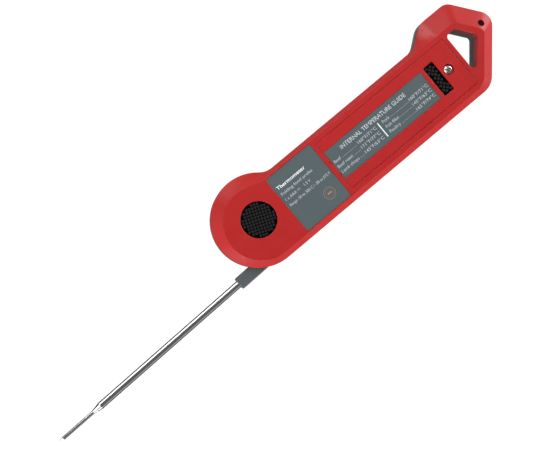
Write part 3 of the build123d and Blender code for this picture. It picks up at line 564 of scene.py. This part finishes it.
# ---- Guide label: a generic table of cooking temperatures --------------------------------------
def guide_label_print():
    """A heading over two columns of foods, each with a dotted leader to its temperature."""
    low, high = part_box("guide_label")
    print_ = Print(high.z)
    print_.text(
        "INTERNAL TEMPERATURE GUIDE",
        x=(low.x + high.x) / 2 - 2.3 * MM,
        y=1.35 * MM,
        height=2.1 * MM,
        width=38.0 * MM,
        align="CENTER",
        weight=0.006,
    )
    letter_height = 1.55 * MM
    value_width = 11.0 * MM
    name_gap = 0.5 * MM
    value_gap = 0.4 * MM
    leader_drop = 0.62 * MM
    dot_pitch = 0.52 * MM
    dot_size = 0.2 * MM
    rows_y = (-1.95 * MM, -4.70 * MM, -7.45 * MM)
    columns = (
        # left end, right end, foods with their temperatures in degrees Celsius
        (low.x + 0.75 * MM, low.x + 25.6 * MM, (("Beef", 71), ("Beef roast", 77), ("Lamb chops", 63))),
        (low.x + 29.3 * MM, high.x - 1.0 * MM, (("Pork", 71), ("Fish fillet", 63), ("Poultry", 74))),
    )
    for left, right, foods in columns:
        for y, (food, celsius) in zip(rows_y, foods):
            fahrenheit = round(celsius * 9 / 5 + 32)
            name_width = print_.text(food, left, y, letter_height)
            print_.text(f"{fahrenheit}°F/{celsius}°C", right, y, letter_height, value_width, "RIGHT")
            leader_start = left + name_width + name_gap
            leader_end = right - value_width - value_gap
            print_.leader(leader_start, leader_end, y - leader_drop, dot_pitch, dot_size)
    # The upright rule between the columns.
    print_.bar(low.x + 27.25 * MM, -4.75 * MM, 0.55 * MM, 7.7 * MM, ink_index=WHITE)
    print_.finish("guide_label_print", [ink_pale, ink_white], "battery_cover", "label_film")


rear_label_print()
guide_label_print()


# ---- Grip pads: a plate with rows of raised square studs ---------------------------------------------
STUD_HEIGHT = 0.16 * MM
PAD_LIP = 0.1 * MM
# Half a stud's width at its foot and at its crown, as shares of the lattice's pitch.
STUD_FOOT = 0.37
STUD_CROWN = 0.25
# A pad's finishes: its plate's, painted near-black as shade in the grooves between the studs, then its
# studs'.
PAD_FINISHES = [pad_ground_groove_shade, pad_film]
STUD_FINISH = 1


def add_studs(plate, centre, inside, pitch, angle, high_z):
    """Four-sided studs on a square lattice turned by an angle, wherever inside(x, y, reach) says yes."""
    foot = pitch * STUD_FOOT
    crown = pitch * STUD_CROWN
    foot_clearance = 1.2
    lattice_reach = 12 * MM
    turn = Matrix.Rotation(angle, 2)
    count = int(lattice_reach / pitch)
    for i in range(-count, count + 1):
        for j in range(-count, count + 1):
            place = turn @ Vector((i * pitch, j * pitch))
            if not inside(place.x, place.y, foot * foot_clearance):
                continue
            rings = []
            for reach, z in ((foot, high_z - STUD_HEIGHT), (crown, high_z)):
                corners = [turn @ Vector(corner) * reach for corner in ((1, 1), (-1, 1), (-1, -1), (1, -1))]
                points = [(centre[0] + place.x + c.x, centre[1] + place.y + c.y, z) for c in corners]
                rings.append([plate.verts.new(point) for point in points])
            low, high = rings
            faces = [plate.faces.new(high), plate.faces.new(low[::-1])]
            for k in range(4):
                n = (k + 1) % 4
                faces.append(plate.faces.new((low[k], low[n], high[n], high[k])))
            for face in faces:
                face.material_index = STUD_FINISH


def pad_plate(outline, low_z, high_z):
    """A plate from an outline function of an inset, with its upper rim chamfered."""
    plate = bmesh.new()
    levels = ((0, low_z), (0, high_z - PAD_LIP), (PAD_LIP, high_z))
    rings = [[plate.verts.new((x, y, z)) for x, y in outline(inset)] for inset, z in levels]
    count = len(rings[0])
    plate.faces.new(rings[0][::-1])
    plate.faces.new(rings[-1])
    for lower, upper in zip(rings, rings[1:]):
        for i in range(count):
            j = (i + 1) % count
            plate.faces.new((lower[i], lower[j], upper[j], upper[i]))
    return plate


def round_pad():
    low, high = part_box("round_magnet_pad")
    centre = ((low.x + high.x) / 2, (low.y + high.y) / 2)
    radius = (high.x - low.x) / 2
    rim = 0.35 * MM
    steps = 96

    def outline(inset):
        reach = radius - inset
        turns = [2 * math.pi * i / steps for i in range(steps)]
        return [(centre[0] + reach * math.cos(a), centre[1] + reach * math.sin(a)) for a in turns]

    def inside(x, y, reach):
        return math.hypot(x, y) + reach < radius - rim

    plate = pad_plate(outline, low.z, high.z - STUD_HEIGHT)
    add_studs(plate, centre, inside, pitch=1.42 * MM, angle=math.radians(-22), high_z=high.z)
    piece = add_piece("round_magnet_pad_grip", plate, PAD_FINISHES, "case")
    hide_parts("round_magnet_pad")


def bar_pad():
    low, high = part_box("bar_magnet_pad")
    centre = ((low.x + high.x) / 2, (low.y + high.y) / 2)
    half = ((high.x - low.x) / 2, (high.y - low.y) / 2)
    rim = 0.05 * MM
    corner = 0.35 * MM
    corner_steps = 4

    def outline(inset):
        points = []
        reach = corner - inset
        for quarter, (side_x, side_y) in enumerate(((1, 1), (-1, 1), (-1, -1), (1, -1))):
            for step in range(corner_steps + 1):
                angle = math.pi / 2 * (quarter + step / corner_steps)
                x = centre[0] + side_x * (half[0] - corner) + reach * math.cos(angle)
                y = centre[1] + side_y * (half[1] - corner) + reach * math.sin(angle)
                points.append((x, y))
        return points

    def inside(x, y, reach):
        return abs(x) + reach < half[0] - rim and abs(y) + reach < half[1] - rim

    plate = pad_plate(outline, low.z, high.z - STUD_HEIGHT)
    add_studs(plate, centre, inside, pitch=1.56 * MM, angle=math.radians(41), high_z=high.z)
    piece = add_piece("bar_magnet_pad_grip", plate, PAD_FINISHES, "battery_cover")
    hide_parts("bar_magnet_pad")


round_pad()
bar_pad()


# ---- Display segments, read from the front face ----------------------------------------------------
# Gap that keeps a print off the face it lies on.
PRINT_GAP = 0.002 * MM
# The bars that each sign shows: a top, b and c right, d bottom, e and f left, g middle.
SEGMENTS = {"2": "abged", "4": "fgbc", "7": "abc", "C": "afed"}


def display_print():
    """A reading of three slanted digits with a decimal point, and the sign for degrees Celsius."""
    low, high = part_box("display_glass")
    print_ = Print(low.z - PRINT_GAP, up=-1)
    tall, wide, thick = 11.5 * MM, 6.2 * MM, 1.25 * MM
    slant = 0.09
    gap_share = 0.12

    def segment(x0, y0, kind):
        """One bar of a digit. y grows downwards on the face as it is read, which is towards +Y."""
        half = tall / 2
        spots = {
            "a": ((0, half), (wide, half)),
            "b": ((wide, half), (wide, 0)),
            "c": ((wide, 0), (wide, -half)),
            "d": ((0, -half), (wide, -half)),
            "e": ((0, 0), (0, -half)),
            "f": ((0, half), (0, 0)),
            "g": ((0, 0), (wide, 0)),
        }
        (ax, ay), (bx, by) = spots[kind]
        start, end = Vector((ax, ay)), Vector((bx, by))
        along = (end - start).normalized()
        side = Vector((-along.y, along.x)) * thick / 2
        gap = along * thick * gap_share
        tip = along * thick / 2
        start, end = start + gap, end - gap
        points = [start, start + tip + side, end - tip + side, end, end - tip - side, start + tip - side]
        print_.prism([(x0 + p.x + slant * p.y, y0 - p.y) for p in points])

    first_x = low.x + 9.0 * MM
    digit_pitch = 9.6 * MM
    centre_y = (low.y + high.y) / 2
    digits = "724"
    for place, digit in enumerate(digits):
        for kind in SEGMENTS[digit]:
            segment(first_x + place * digit_pitch, centre_y, kind)
    # The decimal point stands before the last digit.
    point_x = first_x + 2 * digit_pitch - 1.9 * MM
    print_.bar(point_x, centre_y + tall / 2, thick, thick)
    unit_x = first_x + len(digits) * digit_pitch + 1.2 * MM
    print_.ring(unit_x, centre_y - 4.6 * MM, 0.95 * MM, 0.55 * MM, steps=20)
    for kind in SEGMENTS["C"]:
        segment(unit_x + 2.6 * MM, centre_y, kind)
    print_.finish("display_digits", [ink_black], "case", "lcd_glass")


display_print()


# ---- Marks on the two buttons ------------------------------------------------------------------
BUTTON_PRINT_GAP = 0.001 * MM


def button_marks(node, body, name, draw):
    """A mark in the middle of a button's outer face, drawn by a function."""
    low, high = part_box(node)
    print_ = Print(low.z - BUTTON_PRINT_GAP, up=-1)
    draw(print_, (low.x + high.x) / 2, (low.y + high.y) / 2)
    print_.finish(name, [ink_white], body, "button_grey")


def hold_mark(print_, x, y):
    """Two upright bars in a ring."""
    print_.ring(x, y, 2.1 * MM, 1.8 * MM)
    for side in (-1, 1):
        print_.bar(x + side * 0.55 * MM, y, 0.45 * MM, 1.8 * MM)


def light_mark(print_, x, y):
    """A small ring with short rays."""
    print_.ring(x, y, 0.95 * MM, 0.65 * MM)
    rays = 8
    for step in range(rays):
        angle = 2 * math.pi / rays * step
        along = Vector((math.cos(angle), math.sin(angle)))
        side = Vector((-along.y, along.x)) * 0.13 * MM
        near, far = along * 1.3 * MM, along * 2.0 * MM
        corners = (near - side, far - side, far + side, near + side)
        print_.prism([(x + p.x, y + p.y) for p in corners])


button_marks("hold_button", "hold_button", "hold_button_mark", hold_mark)
button_marks("light_button", "light_button", "light_button_mark", light_mark)


# ---- Studio: floor, lights and camera -------------------------------------------------------------
FLOOR_GLOW = 1.0
FLOOR_GAP = 0.2 * MM
FLOOR_REACH = 24.0
FLOOR_DARK = (0.115, 0.115, 0.115)
FLOOR_PALE = (0.125, 0.125, 0.125)
MOTTLE_SIZE = 120 * MM
WHITE_LIGHT = (1.0, 1.0, 1.0)
WORLD_STRENGTH = 0.135


def floor():
    """A plain pale worktop under the object, seen from above only."""
    finish = Finish(
        "worktop", Specular_IOR_Level=0.2, Emission_Color=WHITE_LIGHT, Emission_Strength=FLOOR_GLOW
    )
    mottle = finish.noise(MOTTLE_SIZE, detail=2)
    finish.colour(finish.mixed(finish.ranged(mottle, 0, 1), FLOOR_DARK, FLOOR_PALE))
    finish.roughness(finish.ranged(mottle, 0.75, 0.85))
    # Clear from below: the mix shows its first shader from above and its second from below.
    side = finish.node("ShaderNodeNewGeometry")
    clear = finish.node("ShaderNodeBsdfTransparent")
    one_sided = finish.node("ShaderNodeMixShader")
    finish.link(side.outputs["Backfacing"], one_sided.inputs["Fac"])
    finish.link(finish.shader.outputs["BSDF"], one_sided.inputs[1])
    finish.link(clear.outputs["BSDF"], one_sided.inputs[2])
    finish.link(one_sided.outputs["Shader"], finish.output.inputs["Surface"])
    mesh = bpy.data.meshes.new("floor")
    # One triangle, so that no edge inside the floor splits its light under the object.
    corners = []
    for bearing in (90, 210, 330):
        turn = math.radians(bearing)
        corners.append((FLOOR_REACH * math.cos(turn), FLOOR_REACH * math.sin(turn), -FLOOR_GAP))
    mesh.from_pydata(corners, [], [(0, 1, 2)])
    mesh.materials.append(finish.material)
    plane = bpy.data.objects.new("floor", mesh)
    scene.collection.objects.link(plane)
    # Its light is even and shadowless, like a lit table's, but it isn't mirrored in the object.
    plane.visible_glossy = False


def area_light(name, azimuth, elevation, distance, breadth, height, power):
    """A soft box that faces the origin, with its breadth level."""
    light = bpy.data.lights.new(name, "AREA")
    light.shape = "RECTANGLE"
    light.size = breadth
    light.size_y = height
    light.energy = power
    lamp = bpy.data.objects.new(name, light)
    turn, tilt = math.radians(azimuth), math.radians(elevation)
    away = Vector((math.cos(turn) * math.cos(tilt), math.sin(turn) * math.cos(tilt), math.sin(tilt)))
    lamp.location = away * distance
    lamp.rotation_euler = away.to_track_quat("Z", "Y").to_euler()
    scene.collection.objects.link(lamp)


CAMERA_STAND = Vector((-0.0437, 0.0088, 0.5987))
CAMERA_TARGET = Vector((0.00479, -0.00671, 0.0095))
PICTURE_UP = Vector((0.6424, 0.7664, 0.0))
FOCAL_LENGTH_MM = 85.1
SENSOR_WIDTH_MM = 36.0
NEAR_CLIP = 10 * MM


def camera():
    """The view of the rear face from above, with the bar running up to the right."""
    forward = (CAMERA_TARGET - CAMERA_STAND).normalized()
    right = forward.cross(PICTURE_UP).normalized()
    up = right.cross(forward)
    lens = bpy.data.cameras.new("camera")
    lens.lens = FOCAL_LENGTH_MM
    lens.sensor_width = SENSOR_WIDTH_MM
    lens.clip_start = NEAR_CLIP
    viewer = bpy.data.objects.new("camera", lens)
    rotation = Matrix((right, up, -forward)).transposed()
    viewer.matrix_world = Matrix.Translation(CAMERA_STAND) @ rotation.to_4x4()
    scene.collection.objects.link(viewer)
    scene.camera = viewer


LIGHTS = (
    # name, azimuth and elevation in degrees, distance, breadth and height in metres, watts
    ("right", 0, 18, 1.2, 0.7, 0.7, 9.7),
    ("upper_right", 60, 52, 1.1, 0.5, 0.5, 3.1),
    ("upper", 90, 30, 0.9, 0.5, 0.5, 2.9),
    ("upper_left", 150, 35, 1.1, 0.6, 0.6, 4.0),
    ("left", 180, 52, 1.1, 0.5, 0.5, 1.6),
    ("left_strip", 200, 8, 1.2, 0.5, 0.28, 3.3),
    ("lower_left", 225, 18, 1.2, 0.7, 0.7, 3.6),
    ("lower_left_strip", 225, 8, 1.2, 0.7, 0.28, 6.4),
    ("lower", 270, 18, 1.2, 0.7, 0.7, 0.6),
    ("lower_right_strip", 315, 8, 1.2, 0.7, 0.28, 8.8),
)


def surroundings():
    """Even, faint white light from all round."""
    world = bpy.data.worlds.new("studio")
    world.use_nodes = True
    background = world.node_tree.nodes["Background"]
    background.inputs["Color"].default_value = (*WHITE_LIGHT, 1)
    background.inputs["Strength"].default_value = WORLD_STRENGTH
    scene.world = world


floor()
for light_row in LIGHTS:
    area_light(*light_row)
surroundings()
scene.view_settings.view_transform = "Standard"
camera()
